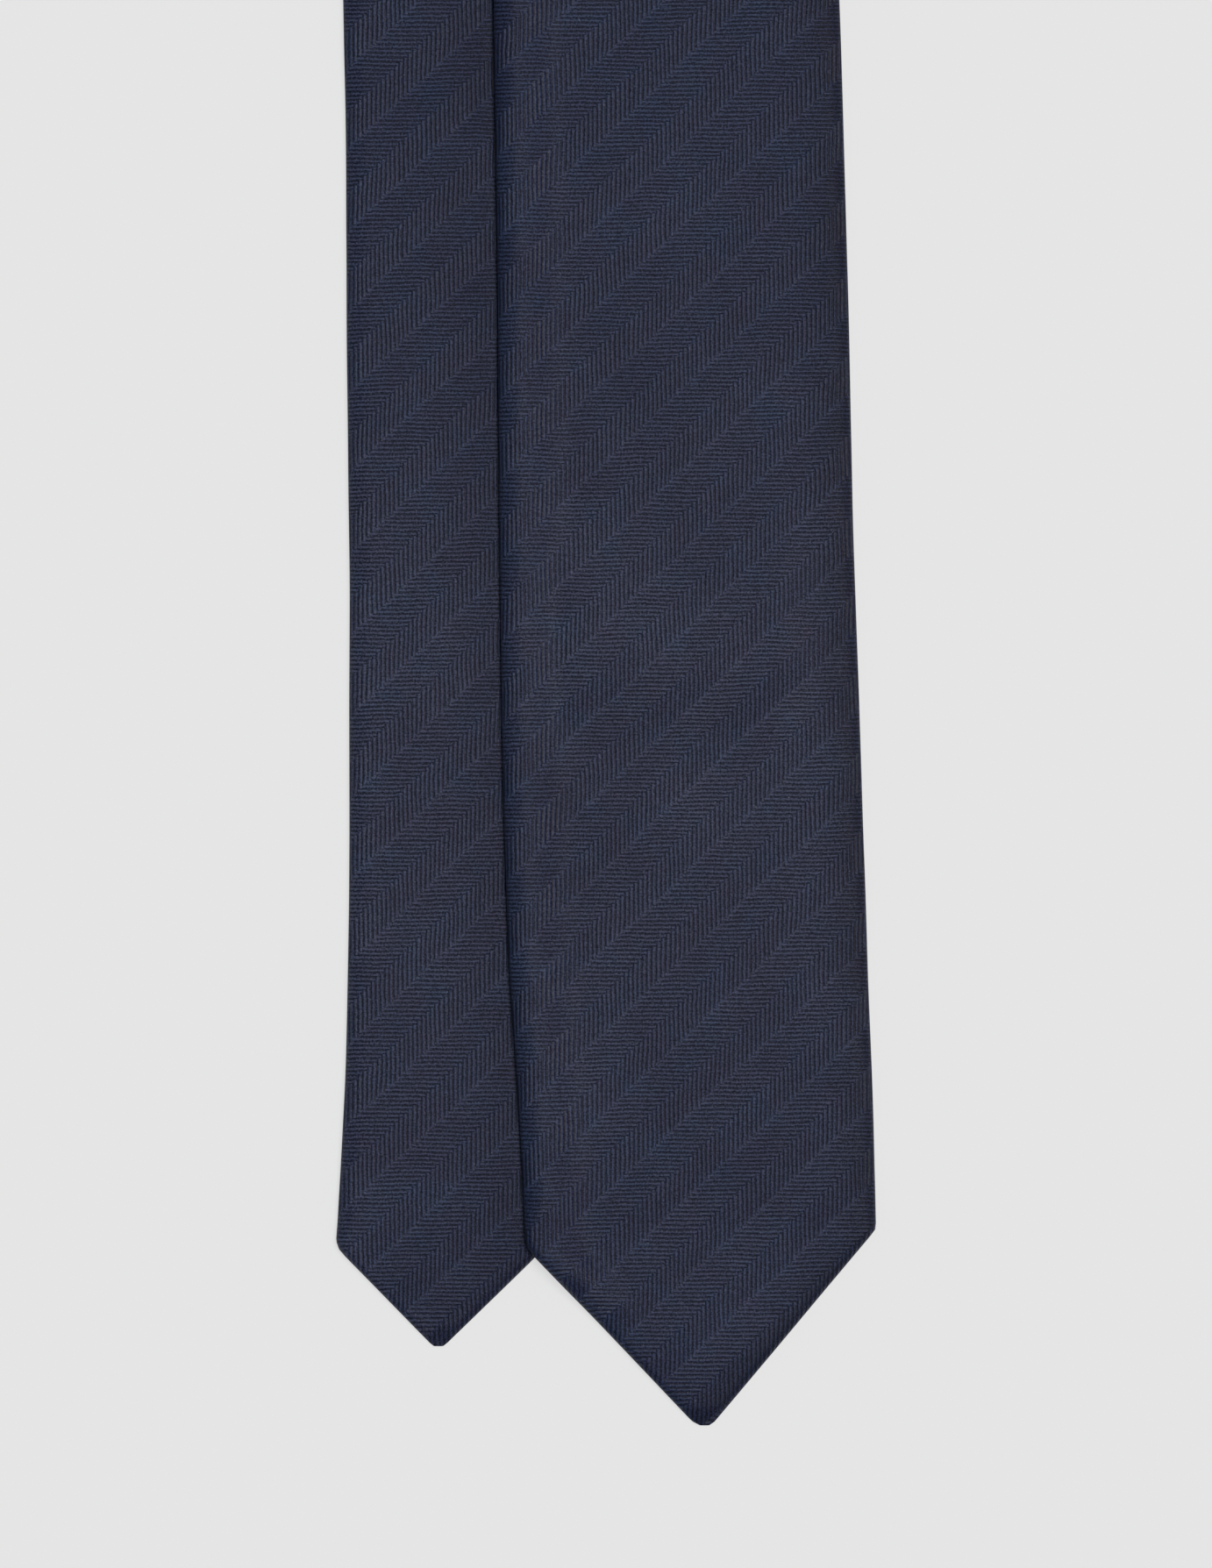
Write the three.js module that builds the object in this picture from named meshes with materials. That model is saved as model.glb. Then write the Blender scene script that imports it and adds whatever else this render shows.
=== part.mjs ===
// Necktie, laid flat and folded at the neck so that both blades lie face up.
// Millimetres. +X across the blades, +Y from the tips towards the neck, +Z up from the table.
// The wide front blade lies on the right, over the edge of the narrow tail blade.
// The neck is folded twice at 45 degrees, so the layers stack tail, neck band, front blade.

import * as THREE from 'three';

// ---- Driving dimensions -------------------------------------------------------------

const TOTAL_LENGTH = 1480;      // tip to tip along the middle of the tie
const THICKNESS = 3.2;          // a blade, from its back to its face
const FABRIC = 0.45;            // shell cloth
const GAP = 0.3;                // clearance between neighbouring pieces
const NECK_WIDTH = 36;
const TAIL_TIP_Y = 18;          // the tail's tip lies this far above the front's tip
const FRONT_NECK_X = -15;       // middle of the front at the neck, from the front's tip
const TAIL_NECK_X = -70;        // middle of the tail at the neck
const NECK_SPAN = FRONT_NECK_X - TAIL_NECK_X;
const NECK_Y = (TOTAL_LENGTH + TAIL_TIP_Y - NECK_SPAN) / 2;

const LIFT_LINE_Y = 360;        // crosswise line where the front blade's lower half lifts
const BODY_GAP = 0.4;           // slot between two pieces at a fold line
const LAYER = THICKNESS + GAP;  // one blade stacked on another

const ROLL_REACH = 1.8;         // how far the rolled edge takes to turn from face to back
const HEM = 12;                 // cloth turned to the back along the pointed end
const SEAM_OVERLAP = 2;         // folded back edge, past the middle
const SEAM_TUCK = 5;            // raw back edge, tucked under the folded one
const TUCK_RISE = FABRIC + GAP;

const INTERLINING_LOW = 1.5;
const INTERLINING_HIGH = THICKNESS - FABRIC - GAP;
const INTERLINING_INSET = 2.6;

const KEEPER = { y: 180, length: 42, width: 10, cloth: 0.4, turn: 6 };
const KEEPER_ROOM = 2 * KEEPER.cloth + 2 * GAP;

// Outlines, tip first, as [x, y] from the front blade's tip.
const FRONT = {
  left: [[-1.9, 0], [-39.9, 39.8], [-40.8, 43], [-41.7, 64], [-44.3, 103], [-46, 154],
    [-46.6, 206], [-48, 324], [-47.6, 362], [-44, 440], [-37, 560], [-34, 610],
    [FRONT_NECK_X - NECK_WIDTH / 2, 656], [FRONT_NECK_X - NECK_WIDTH / 2, NECK_Y]],
  right: [[1.3, 0], [37.9, 43], [38.9, 45.6], [38.3, 73], [36.1, 133], [33.8, 200],
    [30.7, 324], [28.5, 362], [21.5, 440], [9, 560], [5, 610],
    [FRONT_NECK_X + NECK_WIDTH / 2, 656], [FRONT_NECK_X + NECK_WIDTH / 2, NECK_Y]],
  tip: 0,
  corner: 45,
  seamStart: 105,
};
const TAIL = {
  left: [[-61.8, TAIL_TIP_Y], [-81.8, 38.5], [-83.8, 41.8], [-82.6, 61], [-81.2, 97],
    [-80.4, 186], [-82.2, 324], [-85.6, 500],
    [TAIL_NECK_X - NECK_WIDTH / 2, 640], [TAIL_NECK_X - NECK_WIDTH / 2, NECK_Y]],
  right: [[-59.2, TAIL_TIP_Y], [-38.2, 38.5], [-37.4, 42], [-40.6, 103], [-42.4, 154],
    [-43.2, 206], [-45.6, 324], [-48, 420], [-50.2, 540],
    [TAIL_NECK_X + NECK_WIDTH / 2, 640], [TAIL_NECK_X + NECK_WIDTH / 2, NECK_Y]],
  tip: TAIL_TIP_Y,
  corner: 42,
  seamStart: 80,
};

// Where the front blade leaves the table.
const OVERLAP_RIM = 4.5;              // its left edge rides at full height this far in
const OVERLAP_RAMP = 16;              // and is back on the table this far in
const OVERLAP_START = [22, 38];       // along Y, where the pointed end climbs onto the tail
const OVERLAP_FADE = [385, 440];      // along Y, above which the blades lie side by side
const KEEPER_HILL_X = [24, 34];       // flat top and foot of the rise over the keeper loop
const KEEPER_HILL_Y = [7, 24];
const NECK_CLIMB = [610, 702];        // along Y, up onto the neck band

// ---- Small maths --------------------------------------------------------------------

const clamp01 = (t) => Math.min(1, Math.max(0, t));

function smooth(from, to, value) {
  const t = clamp01((value - from) / (to - from));
  return t * t * (3 - 2 * t);
}

// x of an outline at a height y, straight between its points.
function outlineAt(outline, y) {
  let i = 1;
  while (i < outline.length - 1 && outline[i][1] < y) i += 1;
  const [x0, y0] = outline[i - 1];
  const [x1, y1] = outline[i];
  return x0 + (x1 - x0) * clamp01((y - y0) / (y1 - y0));
}

// Left and right edge of a blade at a station; a skewed station runs at 45 degrees.
function edgesAt(blade, station) {
  const left = outlineAt(blade.left, station.y);
  const right = outlineAt(blade.right, station.y);
  const centre = (left + right) / 2;
  return {
    left: outlineAt(blade.left, station.y + station.skew * (left - centre)),
    right: outlineAt(blade.right, station.y + station.skew * (right - centre)),
    centre,
  };
}

// Height of the front blade's back above the table.
function frontHeight(x, y) {
  const left = outlineAt(FRONT.left, y);
  const centre = (left + outlineAt(FRONT.right, y)) / 2;
  const overTail = (1 - smooth(OVERLAP_RIM, OVERLAP_RAMP, x - left))
    * smooth(OVERLAP_START[0], OVERLAP_START[1], y)
    * (1 - smooth(OVERLAP_FADE[0], OVERLAP_FADE[1], y));
  const overKeeper = (1 - smooth(KEEPER_HILL_X[0], KEEPER_HILL_X[1], Math.abs(x - centre)))
    * (1 - smooth(KEEPER_HILL_Y[0], KEEPER_HILL_Y[1], Math.abs(y - KEEPER.y)));
  const rise = Math.max(LAYER * overTail, KEEPER_ROOM * overKeeper);
  return rise + 2 * LAYER * smooth(NECK_CLIMB[0], NECK_CLIMB[1], y);
}

const onTable = () => 0;

// ---- Solids -------------------------------------------------------------------------

// A closed band between an outer and an inner line, swept through its stations.
// Each station holds two equally long lists of points, outer and inner.
function bandGeometry(stations) {
  const count = stations[0].outer.length;
  const points = stations.flatMap(({ outer, inner }) => [...outer, ...inner]);
  const outerAt = (s, i) => 2 * count * s + i;
  const innerAt = (s, i) => 2 * count * s + count + i;
  const faces = [];
  const quad = (a, b, c, d) => faces.push(a, b, c, a, c, d);
  const last = stations.length - 1;
  const end = count - 1;
  for (let s = 0; s < last; s += 1) {
    for (let i = 0; i < end; i += 1) {
      quad(outerAt(s, i), outerAt(s, i + 1), outerAt(s + 1, i + 1), outerAt(s + 1, i));
      quad(innerAt(s, i), innerAt(s + 1, i), innerAt(s + 1, i + 1), innerAt(s, i + 1));
    }
    quad(innerAt(s, 0), outerAt(s, 0), outerAt(s + 1, 0), innerAt(s + 1, 0));
    quad(outerAt(s, end), innerAt(s, end), innerAt(s + 1, end), outerAt(s + 1, end));
  }
  for (let i = 0; i < end; i += 1) {
    quad(innerAt(0, i), innerAt(0, i + 1), outerAt(0, i + 1), outerAt(0, i));
    quad(innerAt(last, i), outerAt(last, i), outerAt(last, i + 1), innerAt(last, i + 1));
  }
  const geometry = new THREE.BufferGeometry();
  geometry.setAttribute('position', new THREE.Float32BufferAttribute(points.flat(), 3));
  geometry.setIndex(faces);
  geometry.computeVertexNormals();
  return geometry;
}

// Steps across a blade's face, from its left edge and from its right edge.
const LEFT_STEPS = [OVERLAP_RIM, 8, 12, OVERLAP_RAMP];
const RIGHT_STEPS = [OVERLAP_RAMP, 6];

// x positions across the face; the steps close up where the blade is narrow.
function acrossFace({ left, right, centre }) {
  const shrink = Math.min(1, (right - left) / NECK_WIDTH);
  return [
    ...LEFT_STEPS.map((step) => left + step * shrink),
    centre,
    ...RIGHT_STEPS.map((step) => right - step * shrink),
  ];
}

// Half the width of the opening between the two back flaps.
function openingHalf(blade, y, half) {
  const hemmed = Math.max(0.6, Math.min(half * 0.6, half - HEM));
  const closing = clamp01((blade.seamStart - y) / (blade.seamStart - blade.corner));
  return y <= blade.corner ? hemmed : Math.max(GAP, hemmed * closing);
}

// The shell cloth round a blade: folded back edge, left roll, face, right roll, tucked edge.
function shellSection(blade, station, edges) {
  const { left, right, centre } = edges;
  const half = (right - left) / 2;
  const reach = Math.min(ROLL_REACH, half * 0.2);
  const overlapped = station.y > blade.seamStart + 3;
  const opening = openingHalf(blade, station.y, half);
  const foldedEnd = overlapped ? centre + SEAM_OVERLAP : centre - opening;
  const tuckedEnd = overlapped ? centre - SEAM_TUCK : centre + opening;
  const rise = TUCK_RISE * smooth(blade.seamStart - 13, blade.seamStart - 6, station.y);
  const stepIn = overlapped ? centre + 4 : tuckedEnd + (right - tuckedEnd) * 0.15;
  const stepOut = overlapped ? centre + 6.5 : tuckedEnd + (right - tuckedEnd) * 0.4;

  const outer = [];
  const inner = [];
  const add = (x, z, normalX, normalZ) => {
    outer.push([x, z]);
    inner.push([x - FABRIC * normalX, z - FABRIC * normalZ]);
  };
  const roll = (edge, side, angles) => {
    for (const angle of angles) {
      const out = Math.cos(angle);
      const up = Math.sin(angle);
      add(edge - side * reach * (1 - out), THICKNESS * (1 + up) / 2, side * out, up);
    }
  };
  const turns = [-Math.PI / 2, -Math.PI / 4, 0, Math.PI / 4, Math.PI / 2];

  add(foldedEnd, 0, 0, -1);
  const flap = foldedEnd - left - reach;
  const pinch = Math.min(0.5, flap / 8);
  [OVERLAP_RAMP, 10, OVERLAP_RIM].forEach((step, i) => {
    add(left + reach + Math.min(step - ROLL_REACH, flap - pinch * (i + 1)), 0, 0, -1);
  });
  roll(left, -1, turns);
  for (const x of acrossFace(edges)) add(x, THICKNESS, 0, 1);
  roll(right, 1, [...turns].reverse());
  add(stepOut + (right - reach - stepOut) * 0.5, 0, 0, -1);
  add(stepOut, 0, 0, -1);
  add(stepIn, rise, 0, -1);
  add(tuckedEnd, rise, 0, -1);
  return { outer, inner };
}

// A flat layer inside a blade, between two heights.
function layerSection(low, high, inset) {
  return (blade, station, edges) => {
    const shrink = Math.min(1, (edges.right - edges.left) / NECK_WIDTH);
    const across = [
      edges.left + inset * shrink,
      ...acrossFace(edges),
      edges.right - inset * shrink,
    ];
    return {
      outer: across.map((x) => [x, high]),
      inner: across.map((x) => [x, low]),
    };
  };
}

// A thread or a label: a small bar at an offset from the blade's middle.
function barSection(from, to, low, high) {
  return (blade, station, { centre }) => ({
    outer: [[centre + from, high], [centre + to, high]],
    inner: [[centre + from, low], [centre + to, low]],
  });
}

// Sweeps a section along a blade and lays it at its height.
function alongBlade(blade, height, section, stations) {
  return bandGeometry(stations.map((entry) => {
    const station = { skew: 0, ...(typeof entry === 'number' ? { y: entry } : entry) };
    const edges = edgesAt(blade, station);
    const place = ([x, z]) => {
      const y = station.y + station.skew * (x - edges.centre);
      return [x, y, z + height(x, y)];
    };
    const { outer, inner } = section(blade, station, edges);
    return { outer: outer.map(place), inner: inner.map(place) };
  }));
}

// ---- Materials ----------------------------------------------------------------------

const cloth = (color, roughness) => () => new THREE.MeshStandardMaterial({
  color, roughness, metalness: 0,
});
const navyWeave = cloth('#2f3346', 0.78);
const navyWeaveNeck = cloth('#292d40', 0.78);
const wool = cloth('#d8d2c4', 0.95);
const tippingSatin = cloth('#232a44', 0.5);
const navyThread = cloth('#1c2133', 0.7);
const labelSatin = cloth('#c9ccd6', 0.55);

function piece(name, geometry, material) {
  const mesh = new THREE.Mesh(geometry, material());
  mesh.name = name;
  return mesh;
}

// ---- Stations along the blades ------------------------------------------------------

const halfSlot = BODY_GAP / 2;
const keeperStations = [156, 164, 173, 187, 196, 204];
const frontLowerStations = [0, 12, 22, 28, 33, 38, 41, 45.6, 64, 80, 92, 99, 103, 112, 133,
  ...keeperStations, 264, 324, LIFT_LINE_Y - halfSlot];
const frontSeam = { y: 560, skew: 1 };
const frontUpperStations = [LIFT_LINE_Y + halfSlot, 385, 403, 422, 440, 500];
const climbStations = [610, 633, 656, 679, 702];
const frontMitre = { y: NECK_Y - halfSlot, skew: -1 };
const tailStations = [TAIL_TIP_Y, 26, 34, 38.5, 42, 54, 67, 74, 78, 90, 103, 154, 206,
  264, 324, 420, 500];
const tailSeam = { y: 570, skew: -1 };
const tailMitre = { y: NECK_Y - halfSlot, skew: 1 };

const shifted = (station, by) => ({ ...station, y: station.y + by });
const interlining = layerSection(INTERLINING_LOW, INTERLINING_HIGH, INTERLINING_INSET);
const slipStitch = barSection(SEAM_OVERLAP + 0.35, SEAM_OVERLAP + 0.75, 0.02, 0.42);
const tipping = layerSection(TUCK_RISE, TUCK_RISE + 0.35, INTERLINING_INSET);

// ---- Front blade --------------------------------------------------------------------

const front = (section, stations) => alongBlade(FRONT, frontHeight, section, stations);

function frontLower() {
  const group = new THREE.Group();
  group.add(
    piece('front_shell_lower', front(shellSection, frontLowerStations), navyWeave),
    piece('front_interlining_lower', front(interlining, [6, ...frontLowerStations.slice(1)]), wool),
    piece('front_tipping', front(tipping, [7, 12, 22, 28, 33, 38, 41, 45.6, 64, 80, 90]), tippingSatin),
    piece('front_bar_tack', front(barSection(-1.5, 1.5, 0.05, 0.42), [100.2, 101.4]), navyThread),
    piece('front_slip_stitch_lower',
      front(slipStitch, [113, 133, ...keeperStations, 264, 324, LIFT_LINE_Y - halfSlot]), navyThread),
    piece('woven_label', front(barSection(-14, 14, 0.05, 0.4), [47, 59]), labelSatin),
    piece('care_label', front(barSection(-5, 5, 0.05, 0.4), [63, 77]), labelSatin),
    ...keeperPieces(),
  );
  return group;
}

// The keeper loop: a strap of shell cloth behind the blade, its ends turned in and tacked.
function keeperPieces() {
  const { y, length, width, cloth: layer, turn } = KEEPER;
  const half = length / 2;
  const top = 2 * layer + GAP;
  const strap = new THREE.Shape([
    [-half, 0], [half, 0], [half, top], [half - turn, top], [half - turn, top - layer],
    [half - layer, top - layer], [half - layer, layer], [layer - half, layer],
    [layer - half, top - layer], [turn - half, top - layer], [turn - half, top], [-half, top],
  ].map(([x, z]) => new THREE.Vector2(x, z)));
  const strapGeometry = new THREE.ExtrudeGeometry(strap, { depth: width, bevelEnabled: false });
  strapGeometry.rotateX(Math.PI / 2);
  strapGeometry.translate(0, width / 2, 0);
  const { centre } = edgesAt(FRONT, { y, skew: 0 });
  const loop = piece('keeper_loop', strapGeometry, navyWeave);
  loop.position.set(centre, y, 0);
  const tacks = [['keeper_tack_left', -1], ['keeper_tack_right', 1]].map(([name, side]) => {
    const tack = piece(name, new THREE.BoxGeometry(1.2, 4, 0.7), navyThread);
    tack.position.set(centre + side * (half + GAP + 0.6), y, 0.65);
    return tack;
  });
  return [loop, ...tacks];
}

function frontUpper() {
  const group = new THREE.Group();
  const toSeam = [...frontUpperStations, shifted(frontSeam, -GAP / 2)];
  const fromSeam = [shifted(frontSeam, GAP / 2), ...climbStations, frontMitre];
  const whole = [...frontUpperStations, 560, ...climbStations, frontMitre];
  group.add(
    piece('front_shell_upper', front(shellSection, toSeam), navyWeave),
    piece('neck_shell_front_side', front(shellSection, fromSeam), navyWeaveNeck),
    piece('front_interlining_upper', front(interlining, whole), wool),
    piece('front_slip_stitch_upper', front(slipStitch, whole), navyThread),
  );
  return group;
}

// ---- Tail blade ---------------------------------------------------------------------

function tailBlade() {
  const tail = (section, stations) => alongBlade(TAIL, onTable, section, stations);
  const group = new THREE.Group();
  const whole = [...tailStations, 570, 640, 690, tailMitre];
  group.add(
    piece('tail_shell', tail(shellSection, [...tailStations, shifted(tailSeam, -GAP / 2)]), navyWeave),
    piece('neck_shell_tail_side',
      tail(shellSection, [shifted(tailSeam, GAP / 2), 640, tailMitre]), navyWeaveNeck),
    piece('tail_interlining', tail(interlining, [TAIL_TIP_Y + 6, ...whole.slice(1)]), wool),
    piece('tail_tipping', tail(tipping, [TAIL_TIP_Y + 7, 26, 34, 38.5, 42, 54, 65]), tippingSatin),
    piece('tail_bar_tack', tail(barSection(-1, 1, 0.05, 0.42), [74.2, 75.2]), navyThread),
    piece('tail_slip_stitch', tail(slipStitch, [88, 90, ...whole.slice(10)]), navyThread),
  );
  return group;
}

// ---- Neck band ----------------------------------------------------------------------

// Modelled as it runs straight on from the tail, then folded over the tail's 45 degree line.
function neckBand() {
  const half = NECK_WIDTH / 2;
  const strip = {
    left: [[-half, -NECK_WIDTH], [-half, NECK_SPAN + NECK_WIDTH]],
    right: [[half, -NECK_WIDTH], [half, NECK_SPAN + NECK_WIDTH]],
    tip: -2 * TOTAL_LENGTH,
    corner: -TOTAL_LENGTH,
    seamStart: -TOTAL_LENGTH / 2,
  };
  const ends = [{ y: halfSlot, skew: 1 }, { y: NECK_SPAN - halfSlot, skew: -1 }];
  const band = (section) => alongBlade(strip, onTable, section, ends);
  const group = new THREE.Group();
  group.add(
    piece('neck_shell', band(shellSection), navyWeaveNeck),
    piece('neck_interlining', band(interlining), wool),
    piece('neck_slip_stitch', band(slipStitch), navyThread),
  );
  group.setRotationFromAxisAngle(new THREE.Vector3(1, 1, 0).normalize(), Math.PI);
  group.position.set(TAIL_NECK_X, NECK_Y, THICKNESS + LAYER);
  return group;
}

// ---- The tie ------------------------------------------------------------------------

// The origin is on the table, under the middle of the folded tie.
function necktie() {
  const group = new THREE.Group();
  group.add(tailBlade(), neckBand(), frontUpper(), frontLower());
  const middle = new THREE.Box3().setFromObject(group).getCenter(new THREE.Vector3());
  group.position.set(-middle.x, -middle.y, 0);
  return group;
}

export default necktie();
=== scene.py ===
"""Navy herringbone necktie, folded at the neck and laid flat with both faces up."""

import math

import bpy
import numpy as np
from mathutils import Matrix, Vector, noise


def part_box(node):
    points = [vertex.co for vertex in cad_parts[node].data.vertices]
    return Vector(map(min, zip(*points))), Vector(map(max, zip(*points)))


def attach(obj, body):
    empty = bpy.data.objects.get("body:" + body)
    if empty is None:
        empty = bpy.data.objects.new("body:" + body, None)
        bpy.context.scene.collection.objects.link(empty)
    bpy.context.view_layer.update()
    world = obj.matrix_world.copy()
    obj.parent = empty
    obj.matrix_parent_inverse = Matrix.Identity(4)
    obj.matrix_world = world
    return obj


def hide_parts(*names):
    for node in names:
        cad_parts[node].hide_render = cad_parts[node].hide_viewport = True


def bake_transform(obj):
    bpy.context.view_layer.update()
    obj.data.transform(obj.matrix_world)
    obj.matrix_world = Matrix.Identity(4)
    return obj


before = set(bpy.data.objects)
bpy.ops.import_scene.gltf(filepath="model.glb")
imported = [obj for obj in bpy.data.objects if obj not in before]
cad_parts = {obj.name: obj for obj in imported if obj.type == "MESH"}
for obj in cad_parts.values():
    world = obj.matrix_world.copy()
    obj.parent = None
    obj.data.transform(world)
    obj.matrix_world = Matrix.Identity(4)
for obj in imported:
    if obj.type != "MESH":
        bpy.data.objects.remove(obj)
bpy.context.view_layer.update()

# ---- Sizes, in millimetres ------------------------------------------------------------

MM = 0.001
THICKNESS = 3.2             # a blade, from its back to its face
FABRIC = 0.45               # shell cloth
GAP = 0.3                   # clearance between neighbouring pieces
LAYER = THICKNESS + GAP     # one blade stacked on another
FRONT_WIDEST_X = 38.9       # the front blade's right corner
NECK_HALF = 18.0            # half the neck's width
FRONT_NECK_X = -15.0        # middle of the front blade at the neck
TAIL_NECK_X = -70.0         # middle of the tail at the neck
NECK_Y = 721.5
CREASE_INSET = 0.4          # how far a neck fold's strip stops short of the neck's edges
LIFT_LINE_Y = 360.0         # where the front blade's lower half lifts
BEND_REACH = 9.0            # half the length of the stretch at the lift line where stations are close
FRONT_TIP_Y, TAIL_TIP_Y = 0.0, 18.0
FRONT_CORNER_Y, TAIL_CORNER_Y = 45.0, 42.0      # the corners of the pointed ends
FRONT_CLOSED_Y, TAIL_CLOSED_Y = 105.0, 80.0     # the back is sewn shut above here
FRONT_SEAM_Y, TAIL_SEAM_Y = 560.0, 570.0        # diagonal seams to the neck cloth
FRONT_SEAM_RUN, TAIL_SEAM_RUN = 40.0, 36.0      # length over which stations turn to a seam
SEAM_GAP = 0.1              # half the gap at a diagonal seam
SEAM_OVERLAP = 2.0          # folded back edge, past the middle
SEAM_TUCK = 5.0             # raw back edge, tucked under the folded one
SEAM_CLOTH = SEAM_OVERLAP + SEAM_TUCK
TUCK_RISE = FABRIC + GAP    # height of the tucked flap above the folded one
TUCK_RAMP = (3.6, 6.5)      # from the middle, where the raw edge's flap climbs under the other
HEM = 12.0                  # cloth turned to the back along the pointed end
EDGE_HEIGHT = 0.8           # height of a rolled edge's outermost line above the back
ROLL_REACH = 5.0            # how far in a rolled edge is curved
HEM_ROLL_REACH = 2.0        # the same along the pointed end
KEEPER_Y = 180.0
KEEPER_LENGTH = 42.0
KEEPER_WIDTH = 10.0
KEEPER_CLOTH = 0.4
KEEPER_TURN = 6.0           # turned in at each end
KEEPER_ROOM = 2 * KEEPER_CLOTH + 2 * GAP
TIPPING_CLOTH = 0.27
WOOL_LOW, WOOL_HIGH = 1.5, THICKNESS - FABRIC - GAP     # underside and top of the interlining
WOOL_FROM_TIP = 9.0
LINING_INSET = 2.8          # how far interlining and tipping stay inside the blade's edges
STITCH_RADIUS = 0.17
UNEVENNESS = 0.22           # of the padded face

# Where the front blade leaves the table.
OVERLAP_RIM, OVERLAP_RAMP = 4.5, 15.0           # from its left edge: full height, back down
OVERLAP_START, OVERLAP_FADE = (22, 38), (385, 440)
KEEPER_HILL_X, KEEPER_HILL_Y = (24, 34), (7, 24)
NECK_CLIMB = (610, 702)

# Outlines, tip first, as (x, y) from the front blade's tip.
FRONT_LEFT = [(-1.2, 0), (-2.1, 0.3), (-3.2, 1.2), (-39.3, 39.2), (-40.5, 41.0), (-40.8, 43.5),
              (-41.7, 64), (-43.0, 85), (-44.4, 103), (-45.3, 128), (-46.0, 154), (-46.6, 206),
              (-47.1, 271), (-48, 324), (-47.6, 362), (-44, 440), (-37, 560), (-34, 610),
              (FRONT_NECK_X - NECK_HALF, 656), (FRONT_NECK_X - NECK_HALF, 760)]
FRONT_RIGHT = [(1.1, 0), (1.8, 0.3), (2.6, 1.2), (38.2, 43.7), (38.8, 44.6), (FRONT_WIDEST_X, 45.8),
               (38.3, 73), (37.3, 97), (36.1, 133), (35.0, 168), (33.8, 200), (32.8, 250),
               (30.7, 324), (28.5, 362), (21.5, 440), (9, 560), (5, 610),
               (FRONT_NECK_X + NECK_HALF, 656), (FRONT_NECK_X + NECK_HALF, 760)]
TAIL_LEFT = [(-61.6, 18), (-62.1, 18.3), (-81.6, 38.2), (-83.3, 40.2), (-83.8, 42), (-83.4, 47),
             (-82.6, 61), (-81.4, 85), (-80.8, 121), (-80.7, 145), (-80.9, 165), (-80.6, 186),
             (-80.95, 212), (-81.35, 240), (-81.5, 290), (-82.2, 324), (-85.6, 500),
             (TAIL_NECK_X - NECK_HALF, 640), (TAIL_NECK_X - NECK_HALF, 760)]
TAIL_RIGHT = [(-59.4, 18), (-58.9, 18.3), (-38.4, 38.3), (-37.4, 40), (-37.4, 42), (-40.6, 103),
              (-42.4, 154), (-43.2, 206), (-45.6, 324), (-48, 420), (-50.2, 540),
              (TAIL_NECK_X + NECK_HALF, 640), (TAIL_NECK_X + NECK_HALF, 760)]

front_low, front_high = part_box("front_shell_lower")
ORIGIN = Vector((front_high.x - FRONT_WIDEST_X * MM, front_low.y, 0.0))


def smooth(start, end, value):
    """0 before start, 1 after end, and a smooth step between them."""
    t = np.clip((np.asarray(value, float) - start) / (end - start), 0, 1)
    return t * t * (3 - 2 * t)


def place(points):
    """Tie millimetres, from the front tip, to the frame's metres."""
    return np.asarray(points, float) * MM + np.array(ORIGIN)


# ---- Blade outlines -------------------------------------------------------------------

class Outline:
    """x of an edge at any y, with its long stretch smoothed."""

    STEP = 0.25
    SOFTNESS = 9.0
    SOFT_FROM, SOFT_FULLY = 8.0, 34.0       # above the corner

    def __init__(self, points, corner):
        ys = np.array([p[1] for p in points], float)
        xs = np.array([p[0] for p in points], float)
        self.y = np.arange(ys[0], ys[-1], self.STEP)
        sharp = np.interp(self.y, ys, xs)
        soft = self.blurred(sharp, self.SOFTNESS)
        share = smooth(corner + self.SOFT_FROM, corner + self.SOFT_FULLY, self.y)
        self.x = sharp * (1 - share) + soft * share

    def blurred(self, values, sigma):
        """The values after a Gaussian blur, sigma in millimetres."""
        reach = int(3 * sigma / self.STEP)
        kernel = np.exp(-0.5 * (np.arange(-reach, reach + 1) * self.STEP / sigma) ** 2)
        padded = np.pad(values, reach, mode="reflect", reflect_type="odd")
        return np.convolve(padded, kernel / kernel.sum(), mode="valid")

    def at(self, y):
        return np.interp(y, self.y, self.x)

    def slope(self, y):
        return self.at(y + 0.5) - self.at(y - 0.5)


class Blade:
    """A folded blade: its outlines, its back opening and the height it lies at."""

    def __init__(self, left, right, tip, corner, seam_start, height):
        self.left, self.right = Outline(left, corner), Outline(right, corner)
        self.tip, self.corner, self.seam_start = tip, corner, seam_start
        self.height = height

    def pointed(self, y):
        """1 in the pointed end, 0 above its corners."""
        return 1 - float(smooth(self.corner - 4, self.corner + 10, y))

    def pad(self, y):
        """Share of the full thickness, which falls towards the tip."""
        from_tip = y - self.tip
        thinner = 0.12 + 0.28 * (1 - smooth(0, 24, from_tip)) + 0.32 * (1 - smooth(0, 5, from_tip))
        return float(1 - self.pointed(y) * thinner)

    def edges(self, y, skew=0.0):
        """Left edge, right edge and middle of a station, which may run at a slant."""
        left, right = self.left.at(y), self.right.at(y)
        centre = (left + right) / 2
        left = self.left.at(y + skew * (left - centre))
        right = self.right.at(y + skew * (right - centre))
        return left, right, centre

    def width(self, y):
        return self.right.at(y) - self.left.at(y)


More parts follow.
